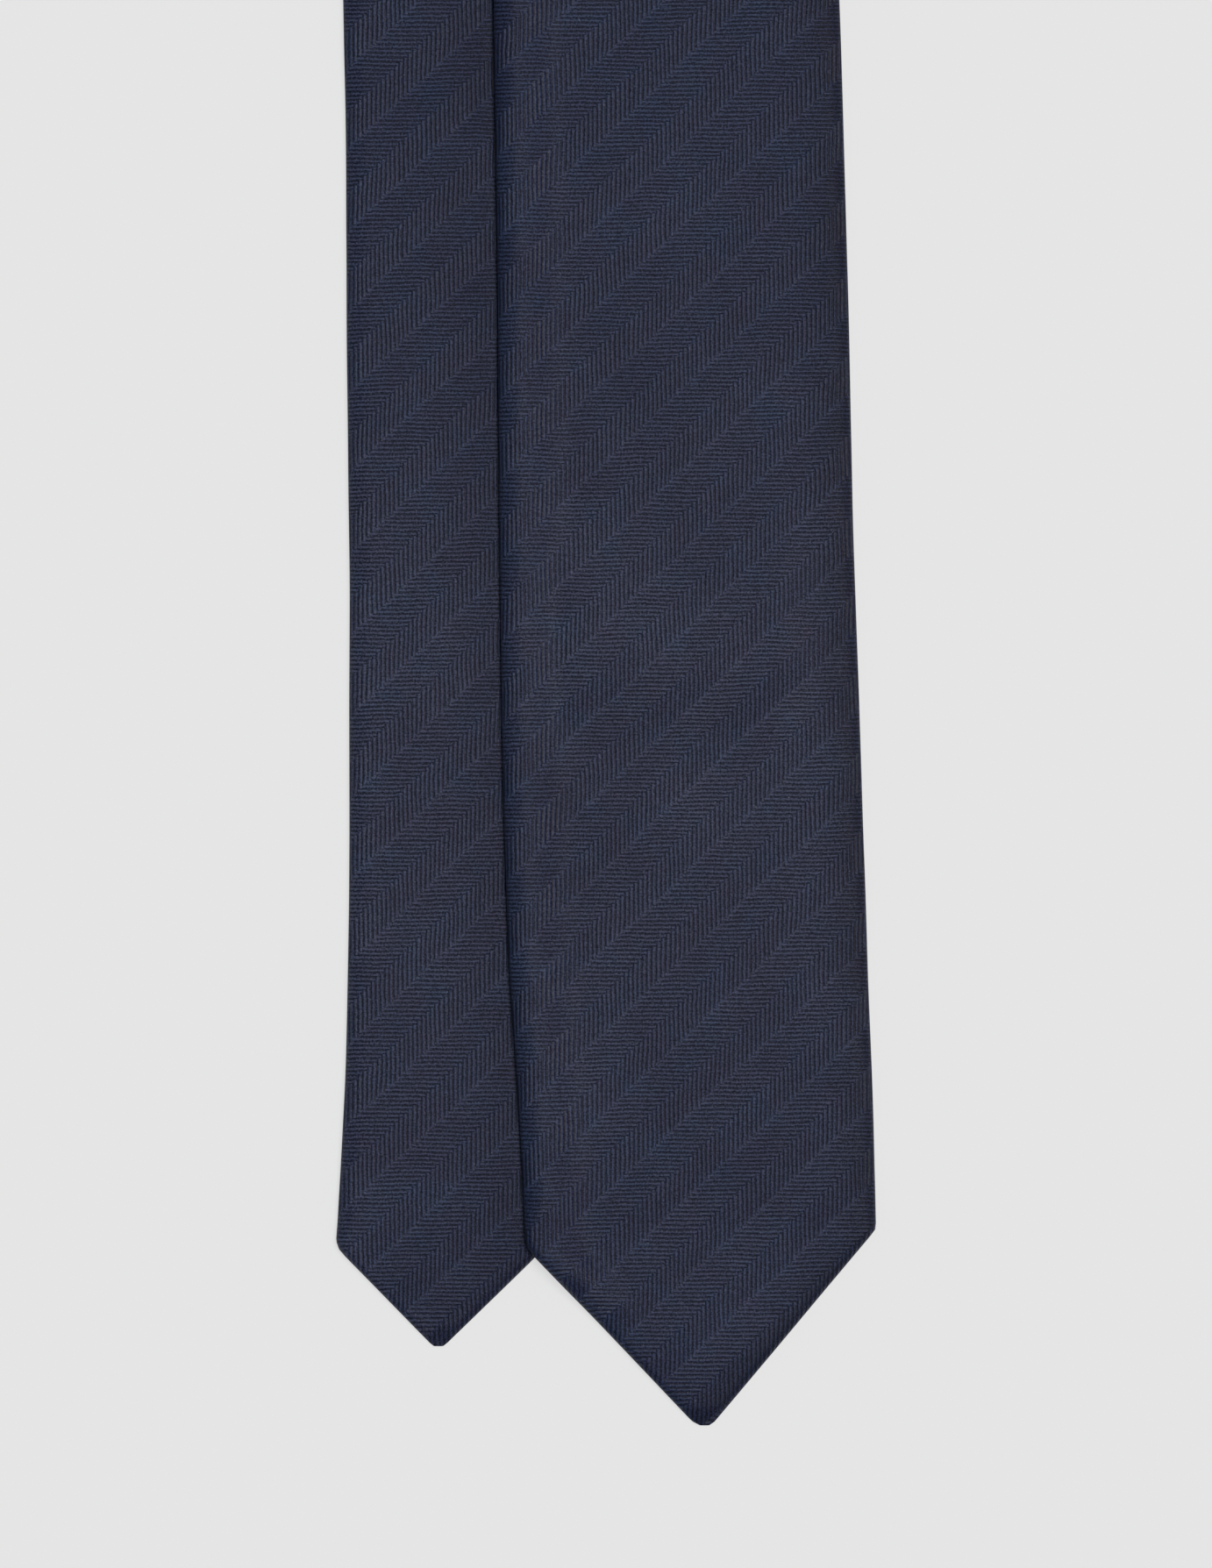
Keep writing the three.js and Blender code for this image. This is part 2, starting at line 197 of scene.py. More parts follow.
def front_height(x, y):
    """Height of the front blade's back: over the tail's edge, the keeper and the neck band."""
    left = front_blade.left.at(y)
    centre = (left + front_blade.right.at(y)) / 2
    alongside = smooth(*OVERLAP_START, y) * (1 - smooth(*OVERLAP_FADE, y))
    over_tail = (1 - smooth(OVERLAP_RIM, OVERLAP_RAMP, x - left)) * alongside
    near_keeper = 1 - smooth(*KEEPER_HILL_Y, abs(y - KEEPER_Y))
    over_keeper = (1 - smooth(*KEEPER_HILL_X, abs(x - centre))) * near_keeper
    rise = np.maximum(LAYER * over_tail, KEEPER_ROOM * over_keeper)
    return rise + 2 * LAYER * smooth(*NECK_CLIMB, y)


def on_table(x, y):
    """Height of a blade's back that lies on the table."""
    return np.zeros_like(np.asarray(x, float) + np.asarray(y, float))


front_blade = Blade(FRONT_LEFT, FRONT_RIGHT, FRONT_TIP_Y, FRONT_CORNER_Y, FRONT_CLOSED_Y, front_height)
tail_blade = Blade(TAIL_LEFT, TAIL_RIGHT, TAIL_TIP_Y, TAIL_CORNER_Y, TAIL_CLOSED_Y, on_table)

# The neck band is made as a straight strip without a pointed end, then folded over.
BAND_LENGTH = FRONT_NECK_X - TAIL_NECK_X
NO_POINT = (-500.0, -400.0, -300.0)
band_strip = Blade([(-NECK_HALF, -60), (-NECK_HALF, 120)], [(NECK_HALF, -60), (NECK_HALF, 120)],
                   *NO_POINT, on_table)

# ---- Mesh making ----------------------------------------------------------------------

def new_object(name, verts, faces, uvs=None, edge_distance=None):
    """A smooth mesh, with the weave's millimetres and the distances to both edges as UV maps."""
    mesh = bpy.data.meshes.new(name)
    mesh.from_pydata([tuple(v) for v in verts], [], faces)
    mesh.validate()
    loops = np.zeros(len(mesh.loops), np.int32)
    mesh.loops.foreach_get("vertex_index", loops)
    for layer_name, values in (("weave", uvs), ("edge", edge_distance)):
        if values is not None:
            layer = mesh.uv_layers.new(name=layer_name)
            layer.data.foreach_set("uv", np.asarray(values, np.float32)[loops].ravel())
    mesh.polygons.foreach_set("use_smooth", [True] * len(mesh.polygons))
    obj = bpy.data.objects.new(name, mesh)
    bpy.context.scene.collection.objects.link(obj)
    return obj


def grid_faces(rings, count):
    """Faces between rows of count points each."""
    return [(s * count + i, s * count + i + 1, (s + 1) * count + i + 1, (s + 1) * count + i)
            for s in range(rings - 1) for i in range(count - 1)]


def bake_modifiers(obj, sharp_degrees=50):
    """Replaces the mesh with what its modifiers make of it."""
    graph = bpy.context.evaluated_depsgraph_get()
    made = bpy.data.meshes.new_from_object(obj.evaluated_get(graph))
    obj.modifiers.clear()
    obj.data = made
    made.set_sharp_from_angle(angle=math.radians(sharp_degrees))
    return obj


def thicken(obj, thickness):
    """Gives a surface its cloth thickness, on the inside."""
    solid = obj.modifiers.new("cloth", "SOLIDIFY")
    solid.thickness = thickness * MM
    solid.offset = -1
    solid.use_even_offset = False
    return bake_modifiers(obj)


def back_opening(blade, y, half):
    """Half the width of the opening between the two back flaps."""
    hemmed = max(0.12, min(half * 0.6, half - HEM))
    closing = min(1.0, max(0.0, (blade.seam_start - y) / (blade.seam_start - blade.corner)))
    return hemmed if y <= blade.corner else max(GAP, hemmed * closing ** 0.9)


def roll_reach(blade, outline, y):
    """How far in the rolled edge is curved, measured across the blade."""
    pointed = blade.pointed(y)
    slope = float(outline.slope(y)) if pointed > 0 else 0
    return (ROLL_REACH + (HEM_ROLL_REACH - ROLL_REACH) * pointed) * math.hypot(1, slope)


def shell_ring(blade, y, skew=0.0):
    """One station of the shell cloth, right round: points (x, y, z), weave coordinates and
    distances from the left and the right edge."""
    left, right, centre = blade.edges(y, skew)
    half = (right - left) / 2
    reach_left = min(roll_reach(blade, blade.left, y), half * 0.9)
    reach_right = min(roll_reach(blade, blade.right, y), half * 0.9)
    top, edge = THICKNESS * blade.pad(y), EDGE_HEIGHT * blade.pad(y)
    turn = np.linspace(0, math.pi / 2, 10)

    overlapped = y > blade.seam_start + 3
    opening = back_opening(blade, y, half)
    folded_end = centre + SEAM_OVERLAP if overlapped else centre - opening
    tucked_end = centre - SEAM_TUCK if overlapped else centre + opening
    rise = TUCK_RISE * float(smooth(blade.seam_start - 13, blade.seam_start - 6, y))
    if overlapped:
        step_in, step_out = centre + TUCK_RAMP[0], centre + TUCK_RAMP[1]
    else:
        step_in = tucked_end + (right - tucked_end) * 0.15
        step_out = tucked_end + (right - tucked_end) * 0.4

    flap_left = np.linspace(folded_end, left + reach_left, 12, endpoint=False)
    roll_left = left + reach_left * (1 - np.cos(turn))
    face = np.linspace(left + reach_left, right - reach_right, 30)[1:-1]
    roll_right = right - reach_right * (1 - np.cos(turn))
    flap_right = np.linspace(right - reach_right, step_out, 9)[1:]
    tuck = np.linspace(step_out, step_in, 5)[1:]
    under = np.linspace(step_in, tucked_end, 4)[1:]

    xs = np.concatenate([flap_left, roll_left[::-1], roll_left[1:], face, roll_right[::-1],
                         roll_right[1:], flap_right, tuck, under])
    zs = np.concatenate([
        np.zeros(len(flap_left)), edge * (1 - np.sin(turn[::-1])),
        edge + (top - edge) * np.sin(turn[1:]), np.full(len(face), top),
        edge + (top - edge) * np.sin(turn[::-1]), edge * (1 - np.sin(turn[1:])),
        np.zeros(len(flap_right)), rise * smooth(0, 1, np.linspace(0, 1, 5)[1:]),
        np.full(len(under), rise)])
    ys = y + skew * (xs - centre)
    middle = len(flap_left) + 2 * len(turn) - 1 + len(face) // 2
    along = np.concatenate([[0], np.cumsum(np.hypot(np.diff(xs), np.diff(zs)))])
    weave_x = xs[middle] + along - along[middle]
    zs = zs + blade.height(xs, ys)
    return (np.stack([xs, ys, zs], axis=1), np.stack([weave_x, ys], axis=1),
            np.stack([xs - left, right - xs], axis=1))


def soften(points, amplitude, seed, on_face):
    """Slight unevenness of padded cloth, kept off the back so that it lies on the table."""
    for p, share in zip(points, on_face):
        low = noise.noise(Vector((p[0] / 34, p[1] / 46, seed)))
        fine = noise.noise(Vector((p[0] / 9, p[1] / 12, seed + 7)))
        p[2] += share * amplitude * (low + 0.35 * fine)
        p[0] += amplitude * 0.35 * noise.noise(Vector((p[1] / 22, seed + 3, 0)))
    return points


def stations(start, end, step=4.0, fine=(), fine_step=1.0):
    """y of each station from start to end, closer together inside the fine stretches."""
    ys = [start]
    while ys[-1] < end:
        close = any(a <= ys[-1] < b for a, b in fine)
        ys.append(min(end, ys[-1] + (fine_step if close else step)))
    if len(ys) > 2 and ys[-1] - ys[-2] < 0.3:
        ys.pop(-2)
    return ys


def shell(name, blade, rings, seed):
    """The shell cloth along the given stations, each (y, skew)."""
    made = [shell_ring(blade, y, skew) for y, skew in rings]
    count = len(made[0][0])
    points = np.concatenate([m[0] for m in made])
    weave = np.concatenate([m[1] for m in made])
    edge_distance = np.concatenate([m[2] for m in made])
    base = blade.height(points[:, 0], points[:, 1])
    on_face = smooth(EDGE_HEIGHT, THICKNESS, points[:, 2] - base)
    points = soften(points, UNEVENNESS, seed, on_face)
    obj = new_object(name, place(points), grid_faces(len(made), count), weave, edge_distance)
    thicken(obj, FABRIC)
    for vertex in obj.data.vertices:
        vertex.co.z = max(vertex.co.z, 0.0)
    return obj


def level(y):
    """No rise at any y."""
    return 0.0


def flat_layer(name, blade, rings, low, high, columns=24, rise=level):
    """A flat layer inside a blade, between two heights that may rise along it."""
    points, weave = [], []
    for y, skew in rings:
        left, right, centre = blade.edges(y, skew)
        pull = min(LINING_INSET, (right - left) * 0.2)
        xs = np.linspace(left + pull, right - pull, columns)
        ys = y + skew * (xs - centre)
        top = high * blade.pad(y) + rise(y)
        points.append(np.stack([xs, ys, top + blade.height(xs, ys)], axis=1))
        weave.append(np.stack([xs, ys], axis=1))
    obj = new_object(name, place(np.concatenate(points)), grid_faces(len(rings), columns),
                     np.concatenate(weave))
    return thicken(obj, high - low)


def tube_along(name, paths, radius, sides=6):
    """Round threads along lists of points in tie millimetres, as one mesh."""
    verts, faces = [], []
    for path in paths:
        path = [Vector(p) for p in path]
        first = len(verts)
        for k, p in enumerate(path):
            ahead = path[min(k + 1, len(path) - 1)] - path[max(k - 1, 0)]
            side = ahead.cross(Vector((0, 0, 1)))
            side = side.normalized() if side.length > 1e-6 else Vector((1, 0, 0))
            up = side.cross(ahead).normalized()
            slim = radius * (0.6 if k in (0, len(path) - 1) else 1.0)
            for q in range(sides):
                angle = 2 * math.pi * q / sides
                verts.append(p + slim * (math.cos(angle) * side + math.sin(angle) * up))
        for k in range(len(path) - 1):
            for q in range(sides):
                a, b = first + k * sides + q, first + k * sides + (q + 1) % sides
                faces.append((a, a + sides, b + sides, b))
        faces.append(tuple(first + q for q in range(sides)))
        last = first + (len(path) - 1) * sides
        faces.append(tuple(last + q for q in reversed(range(sides))))
    uvs = [(v[0], v[1]) for v in verts]
    return new_object(name, place([tuple(v) for v in verts]), faces, uvs)


# ---- Camera, light and floor ----------------------------------------------------------

VIEW_HEIGHT = 356.3
VIEW_CENTRE = (-22.44, 145.75)
LENS = 130.0
SENSOR = 36.0
WORLD_LIGHT = 0.14
SUNS = {                    # direction towards the light, strength, spread in degrees, colour
    "overhead": ((0.32, 0.14, 1.0), 0.80, 30, (1, 1, 1)),
    "cool_left": ((-1.0, 0.1, 0.8), 0.05, 50, (0.50, 1.0, 1.25)),
    "warm_right": ((1.0, 0.1, 0.8), 0.05, 50, (1.40, 1.0, 0.75)),
}
FLOOR_HALF = 3.0            # metres
FLOOR_Z = -0.0004           # metres, just under the stitches
FLOOR_GREY, FLOOR_GLOW = 0.15, 0.64


def set_up_view():
    """A long lens straight above the tips, framed as the photograph is."""
    data = bpy.data.cameras.new("camera")
    data.lens, data.sensor_width = LENS, SENSOR
    camera = bpy.data.objects.new("camera", data)
    distance = VIEW_HEIGHT * MM * LENS / SENSOR
    middle = place([(VIEW_CENTRE[0], VIEW_CENTRE[1], EDGE_HEIGHT)])[0]
    camera.location = (middle[0], middle[1], middle[2] + distance)
    bpy.context.scene.collection.objects.link(camera)
    bpy.context.scene.camera = camera


def sun(name, direction, strength, spread, colour):
    """A distant soft light that shines from a direction."""
    data = bpy.data.lights.new(name, "SUN")
    data.energy, data.angle, data.color = strength * math.pi, math.radians(spread), colour
    light = bpy.data.objects.new(name, data)
    light.rotation_euler = Vector(direction).to_track_quat("Z", "Y").to_euler()
    bpy.context.scene.collection.objects.link(light)


def set_up_light():
    """Even white light with one large soft lamp overhead and a faint tint from each side."""
    scene = bpy.context.scene
    scene.view_settings.view_transform = "Standard"
    world = bpy.data.worlds.new("studio")
    world.use_nodes = True
    background = world.node_tree.nodes["Background"]
    background.inputs["Color"].default_value = (1, 1, 1, 1)
    background.inputs["Strength"].default_value = WORLD_LIGHT
    scene.world = world
    for name, settings in SUNS.items():
        sun(name, *settings)


def make_floor():
    """A plain pale floor that glows a little, so that the tie's shadow nearly vanishes."""
    half, z = FLOOR_HALF, FLOOR_Z
    corners = [(-half, -half, z), (half, -half, z), (half, half, z), (-half, half, z)]
    floor = new_object("floor", corners, [(0, 1, 2, 3)])
    material = bpy.data.materials.new("pale_floor")
    material.use_nodes = True
    shader = material.node_tree.nodes["Principled BSDF"]
    shader.inputs["Base Color"].default_value = (FLOOR_GREY, FLOOR_GREY, FLOOR_GREY, 1)
    shader.inputs["Roughness"].default_value = 1.0
    shader.inputs["Specular IOR Level"].default_value = 0.0
    shader.inputs["Emission Color"].default_value = (1, 1, 1, 1)
    shader.inputs["Emission Strength"].default_value = FLOOR_GLOW
    floor.data.materials.append(material)


# ---- Materials ------------------------------------------------------------------------

class Shader:
    """A Principled material with short ways to add nodes."""

    def __init__(self, name):
        self.material = bpy.data.materials.new(name)
        self.material.use_nodes = True
        self.tree = self.material.node_tree
        self.bsdf = self.tree.nodes["Principled BSDF"]

    def node(self, kind, inputs=None, **settings):
        made = self.tree.nodes.new(kind)
        for key, value in settings.items():
            setattr(made, key, value)
        for key, value in (inputs or {}).items():
            self.feed(made.inputs[key], value)
        return made

    def feed(self, socket, value):
        if isinstance(value, bpy.types.NodeSocket):
            self.tree.links.new(value, socket)
        else:
            socket.default_value = value

    def math(self, operation, *values):
        made = self.node("ShaderNodeMath", operation=operation)
        for socket, value in zip(made.inputs, values):
            self.feed(socket, value)
        return made.outputs[0]

    def vector(self, x, y, z=0.0):
        return self.node("ShaderNodeCombineXYZ", {"X": x, "Y": y, "Z": z}).outputs[0]

    def noise(self, vector, scale, detail=2.0, roughness=0.5):
        made = self.node("ShaderNodeTexNoise", {"Vector": vector, "Scale": scale,
                                                "Detail": detail, "Roughness": roughness})
        return made.outputs["Fac"]

    def spread(self, value, low, high, to_low=0.0, to_high=1.0):
        """The value from low to high, spread over to_low to to_high."""
        return self.node("ShaderNodeMapRange", {"Value": value, "From Min": low, "From Max": high,
                                                "To Min": to_low, "To Max": to_high}).outputs[0]

    def choose(self, share, if_zero, if_one):
        """One of two numbers, or a blend of them."""
        kept = self.math("MULTIPLY", if_zero, self.math("SUBTRACT", 1.0, share))
        return self.math("ADD", kept, self.math("MULTIPLY", if_one, share))

    def mix(self, share, colour_a, colour_b, blend="MIX"):
        made = self.node("ShaderNodeMix", data_type="RGBA", blend_type=blend)
        self.feed(made.inputs[0], share)
        self.feed(made.inputs[6], colour_a)
        self.feed(made.inputs[7], colour_b)
        return made.outputs[2]

    def weave_xy(self):
        """Millimetres across and along the cloth."""
        uv = self.node("ShaderNodeUVMap", uv_map="weave").outputs[0]
        parts = self.node("ShaderNodeSeparateXYZ", {"Vector": uv})
        return parts.outputs["X"], parts.outputs["Y"]

    def bump(self, height, distance, strength=1.0):
        """Relief of the given depth in millimetres."""
        return self.node("ShaderNodeBump", {"Height": height, "Distance": distance * MM,
                                            "Strength": strength}).outputs[0]


DARK_NAVY = (0.0024, 0.0036, 0.0117, 1)
LIGHT_NAVY = (0.0480, 0.0545, 0.0985, 1)
RIB_X, RIB_Y = 1.027, 0.971                 # rib spacing across and along the tie
ZONE_CELLS, UPRIGHT_CELLS = 19.0, 9.0       # ribs in a repeat, and those that stand upright
CELL_OFFSET = 500.0                         # keeps the cell numbers positive
DRIFT_SCALE, DRIFT_REACH = 0.05, 1.6        # slow bending of the ribs, in mm
JITTER_SCALE, JITTER_REACH = 1.3, 0.22      # fine shaking of the ribs, in mm
TONE_BASE, TONE_WAVE = -0.70, -0.40         # from dark between the ribs to light on them
BEAD_TONE, FUZZ_TONE, RIB_TONE, GLINT_TONE = 0.74, 1.38, 0.10, 0.34
BEAD_RELIEF, CROWN_RELIEF, FUZZ_RELIEF = 0.30, 0.9, 0.30
RELIEF_DEPTH = 0.16                         # millimetres
# Painted shade: upright-rib zones are painted darker and bluer, against the extra sheen their ribs
# catch.
UPRIGHT_PAINTED_SHADE, UPRIGHT_PAINTED_TINT = 0.86, (0.84, 0.88, 0.955, 1)
GREENER, REDDER = (0.88, 1.16, 1.20, 1), (1.10, 0.93, 0.97, 1)
PAINTED_LIGHT_Y = 150.0                            # painted light falloff: the blades are painted a little darker away from here
PAINTED_FALLOFF_REACH, PAINTED_FALLOFF_TINT = (30.0, 150.0), (0.72, 0.785, 0.895, 1)
SPECK = (0.13, 0.14, 0.19, 1)


def sway(s, place, scale, detail):
    """Noise about 0, which bends or shakes the ribs."""
    return s.math("SUBTRACT", s.noise(place, scale, detail), 0.5)


def rib_layout(s, x, y, phase):
    """Slanting zones of upright and level ribs that step across the cloth rib by rib."""
    drift = sway(s, s.vector(x, y), DRIFT_SCALE, 2.0)
    drift_y = sway(s, s.vector(y, x, 40.0), DRIFT_SCALE, 2.0)
    jitter = sway(s, s.vector(x, y, 9.0), JITTER_SCALE, 1.0)
    jitter_y = sway(s, s.vector(x, y, 23.0), JITTER_SCALE, 1.0)
    across = s.math("ADD", s.math("MULTIPLY_ADD", drift, DRIFT_REACH, x),
                    s.math("MULTIPLY", jitter, JITTER_REACH))
    up = s.math("ADD", s.math("MULTIPLY_ADD", drift_y, DRIFT_REACH, y),
                s.math("MULTIPLY", jitter_y, JITTER_REACH))
    cell_x = s.math("MULTIPLY_ADD", across, 1 / RIB_X, phase + CELL_OFFSET)
    cell_y = s.math("MULTIPLY_ADD", up, 1 / RIB_Y, CELL_OFFSET)
    step = s.math("SUBTRACT", s.math("FLOOR", cell_x), s.math("FLOOR", cell_y))
    place_in_zone = s.math("FLOORED_MODULO", step, ZONE_CELLS)
    upright = s.math("LESS_THAN", place_in_zone, UPRIGHT_CELLS)
    part = s.choose(upright, s.math("FRACT", cell_y), s.math("FRACT", cell_x))
    along = s.choose(upright, across, up)
    rib_number = s.choose(upright, s.math("FLOOR", cell_y), s.math("FLOOR", cell_x))
    return place_in_zone, upright, part, along, rib_number


def paint_edge_light_and_shade(s, colour, tint, side):
    """Painted light and shade near one edge, multiplied into the cloth: (red, green, blue, reach in mm,
    share at the very edge).
    """
    distances = s.node("ShaderNodeUVMap", uv_map="edge").outputs[0]
    distance = s.node("ShaderNodeSeparateXYZ", {"Vector": distances}).outputs[side]
    red, green, blue, reach, at_edge = tint
    near = s.spread(distance, 0.8, reach, 1.0, 0.0)
    rim = s.spread(distance, 0.0, 1.4, at_edge, 1.0)
    share = s.math("MULTIPLY", s.math("MULTIPLY", near, near), rim)
    return s.mix(share, colour, (red, green, blue, 1), "MULTIPLY")


def dye_patches_and_painted_falloff(s, colour, x, y):
    """Soft dye patches, greener or redder, lighter or darker; and painted light falloff, darker towards
    the ends.
    """
    # painted light falloff: the cloth is painted darker away from y = 150 mm
    from_middle = s.math("ABSOLUTE", s.math("SUBTRACT", y, PAINTED_LIGHT_Y))
    colour = s.mix(s.spread(from_middle, *PAINTED_FALLOFF_REACH), colour, PAINTED_FALLOFF_TINT, "MULTIPLY")
    blotch = s.noise(s.vector(x, y, 60.0), 0.12, 4.0, 0.65)
    colour = s.mix(s.spread(blotch, 0.50, 0.68, 0.0, 0.6), colour, GREENER, "MULTIPLY")
    colour = s.mix(s.spread(blotch, 0.48, 0.32, 0.0, 0.6), colour, REDDER, "MULTIPLY")
    cloudy = s.noise(s.vector(x, y, 11.0), 0.035, 3.0, 0.6)
    cloud = s.spread(cloudy, 0.3, 0.7, 0.84, 1.16)
    blue_cloud = s.spread(cloudy, 0.3, 0.7, 0.89, 1.11)
    channels = {"Red": cloud, "Green": cloud, "Blue": blue_cloud}
    return s.mix(1.0, colour, s.node("ShaderNodeCombineColor", channels).outputs[0], "MULTIPLY")


def herringbone(name, phase, left_painted_edge=None, right_painted_edge=None):
    """Navy ribbed twill in slanting zones, with optional painted light and shade along each edge."""
    s = Shader(name)
    x, y = s.weave_xy()
    place_in_zone, upright, part, along, rib_number = rib_layout(s, x, y, phase)

    wave = s.math("COSINE", s.math("MULTIPLY", part, 2 * math.pi))
    crown = s.math("MULTIPLY_ADD", wave, -0.5, 0.5)
    bead_place = s.vector(s.math("MULTIPLY", along, 2.4), s.math("MULTIPLY", rib_number, 7.3),
                          s.math("MULTIPLY", part, 1.6))
    beads = s.noise(bead_place, 1.0, 2.0, 0.6)
    fuzz = s.noise(s.vector(x, y), 2.7, 1.0, 0.6)
    rib_place = s.vector(s.math("MULTIPLY", rib_number, 3.7), s.math("MULTIPLY", along, 0.12))
    rib_tone = s.noise(rib_place, 1.0, 1.0)
    relief = s.math("MULTIPLY_ADD", beads, BEAD_RELIEF, s.math("MULTIPLY", crown, CROWN_RELIEF))
    relief = s.math("MULTIPLY_ADD", fuzz, FUZZ_RELIEF, relief)

    tone = s.math("MULTIPLY_ADD", wave, TONE_WAVE, TONE_BASE)
    for grain, strength in ((beads, BEAD_TONE), (fuzz, FUZZ_TONE), (rib_tone, RIB_TONE)):
        tone = s.math("MULTIPLY_ADD", s.spread(grain, 0.25, 0.75), strength, tone)
    on_join = s.math("MAXIMUM", s.math("COMPARE", place_in_zone, UPRIGHT_CELLS - 0.5, 0.6),
                     s.math("COMPARE", place_in_zone, 0.0, 0.1))
    glint = s.math("MULTIPLY", on_join, s.spread(s.noise(s.vector(x, y, 31.0), 1.7, 0.0), 0.35, 0.75))
    tone = s.math("MULTIPLY_ADD", glint, GLINT_TONE, tone)
    # painted shade on the upright-rib zones
    tone = s.math("MULTIPLY", tone, s.choose(upright, 1.0, UPRIGHT_PAINTED_SHADE))
    colour = s.mix(tone, DARK_NAVY, LIGHT_NAVY)
    colour = s.mix(upright, colour, UPRIGHT_PAINTED_TINT, "MULTIPLY")
    # painted light and shade along the blade's edges, from the distances in the edge UV map
    for tint, side in ((left_painted_edge, "X"), (right_painted_edge, "Y")):
        if tint:
            colour = paint_edge_light_and_shade(s, colour, tint, side)
    colour = dye_patches_and_painted_falloff(s, colour, x, y)
    speck = s.spread(s.noise(s.vector(x, y, 80.0), 1.6, 1.0, 0.5), 0.73, 0.79, 0.0, 0.5)
    colour = s.mix(speck, colour, SPECK)

    s.feed(s.bsdf.inputs["Base Color"], colour)
    s.feed(s.bsdf.inputs["Roughness"], s.spread(beads, 0.3, 0.7, 0.58, 0.44))
    s.bsdf.inputs["Specular IOR Level"].default_value = 0.18
    s.bsdf.inputs["Sheen Weight"].default_value = 0.06
    s.bsdf.inputs["Sheen Roughness"].default_value = 0.45
    s.bsdf.inputs["Sheen Tint"].default_value = (0.55, 0.65, 1.0, 1)
    s.feed(s.bsdf.inputs["Normal"], s.bump(relief, RELIEF_DEPTH))
    return s.material


def wool():
    """Brushed off-white interlining."""
    s = Shader("interlining_wool")
    x, y = s.weave_xy()
    plane = s.vector(x, y)
    fibres = s.noise(s.vector(s.math("MULTIPLY", x, 3.0), s.math("MULTIPLY", y, 0.7)), 0.8, 3.0, 0.7)
    nap = s.noise(plane, 2.2, 3.0, 0.7)
    colour = s.mix(s.spread(fibres, 0.35, 0.65), (0.50, 0.46, 0.38, 1), (0.78, 0.74, 0.66, 1))
    s.feed(s.bsdf.inputs["Base Color"], colour)
    s.feed(s.bsdf.inputs["Roughness"], s.spread(nap, 0.3, 0.7, 0.85, 1.0))
    s.bsdf.inputs["Sheen Weight"].default_value = 0.3
    s.feed(s.bsdf.inputs["Normal"], s.bump(s.math("ADD", nap, fibres), 0.25))
    return s.material


def satin(name, dark, light, rib=0.32, roughness=0.38):
    """Smooth lining or label cloth with a fine weft rib."""
    s = Shader(name)
    x, y = s.weave_xy()
    plane = s.vector(x, y)
    wobble = s.math("MULTIPLY", s.noise(plane, 0.5, 1.0), 0.4)
    weft = s.math("SINE", s.math("MULTIPLY", s.math("ADD", y, wobble), 2 * math.pi / rib))
    threads = s.noise(s.vector(s.math("MULTIPLY", x, 0.4), s.math("MULTIPLY", y, 4.0)), 1.0, 2.0)
    tone = s.math("ADD", s.math("MULTIPLY", weft, 0.18), s.spread(threads, 0.3, 0.7))
    s.feed(s.bsdf.inputs["Base Color"], s.mix(tone, dark, light))
    s.feed(s.bsdf.inputs["Roughness"], s.spread(threads, 0.3, 0.7, roughness, roughness + 0.15))
    s.bsdf.inputs["Specular IOR Level"].default_value = 0.4
    s.feed(s.bsdf.inputs["Normal"], s.bump(s.math("ADD", weft, threads), 0.05))
    return s.material


def thread_material():
    """Navy silk thread with a visible twist."""
    s = Shader("sewing_thread")
    x, y = s.weave_xy()
    twist = s.math("SINE", s.math("MULTIPLY", s.math("ADD", x, y), 14.0))
    nap = s.noise(s.vector(x, y), 5.0, 2.0)
    tone = s.math("MULTIPLY_ADD", twist, 0.25, nap)
    s.feed(s.bsdf.inputs["Base Color"], s.mix(tone, (0.012, 0.016, 0.035, 1), (0.06, 0.075, 0.13, 1)))
    s.feed(s.bsdf.inputs["Roughness"], s.spread(nap, 0.3, 0.7, 0.45, 0.6))
    s.feed(s.bsdf.inputs["Normal"], s.bump(twist, 0.06))
    return s.material


# Painted shade along the front blade: darker and bluer by the left edge where it rises over the tail,
# darker along the right edge.
front_weave = herringbone("front_weave", 8.87, left_painted_edge=(0.70, 0.81, 0.92, 11.0, 1.0),
                          right_painted_edge=(0.44, 0.44, 0.52, 13.0, 0.6))
# Painted light along the tail's left edge, as if lit by the pale floor, and painted shade along its
# right side under the front blade's overlap.
tail_weave = herringbone("tail_weave", 5.75, left_painted_edge=(1.28, 1.22, 1.15, 7.0, 1.0),
                         right_painted_edge=(0.66, 0.65, 0.73, 26.0, 1.0))
neck_weave = herringbone("neck_weave", 3.0)
interlining_wool = wool()
tipping_satin = satin("tipping_satin", (0.010, 0.014, 0.040, 1), (0.030, 0.040, 0.090, 1))
label_satin = satin("label_satin", (0.40, 0.42, 0.47, 1), (0.62, 0.64, 0.68, 1), rib=0.25)
navy_thread = thread_material()


def finish_piece(obj, material, slot, nodes=(), ride=None, blend=None):
    """Material, the CAD nodes it stands for, and the body it rides with; blend only bakes the
    transform. slot is not used.
    """
    obj.data.materials.clear()
    obj.data.materials.append(material)
    if nodes:
        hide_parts(*nodes)
    if ride:
        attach(obj, ride)
    if blend:
        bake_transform(obj)
    return obj


# ---- Shell pieces ---------------------------------------------------------------------

def straight(ys):
    """Stations that run straight across."""
    return [(y, 0.0) for y in ys]


def lift_blend():
    """The halves either side of the lift line and the two ends of the bend, as a tuple; finish_piece
    only bakes the transform of cloth given it.
    """
    start = place([(0, LIFT_LINE_Y + BEND_REACH, 0)])[0]
    end = place([(0, LIFT_LINE_Y - BEND_REACH, 0)])[0]
    return ("front_upper", "front_lower", tuple(start), tuple(end))


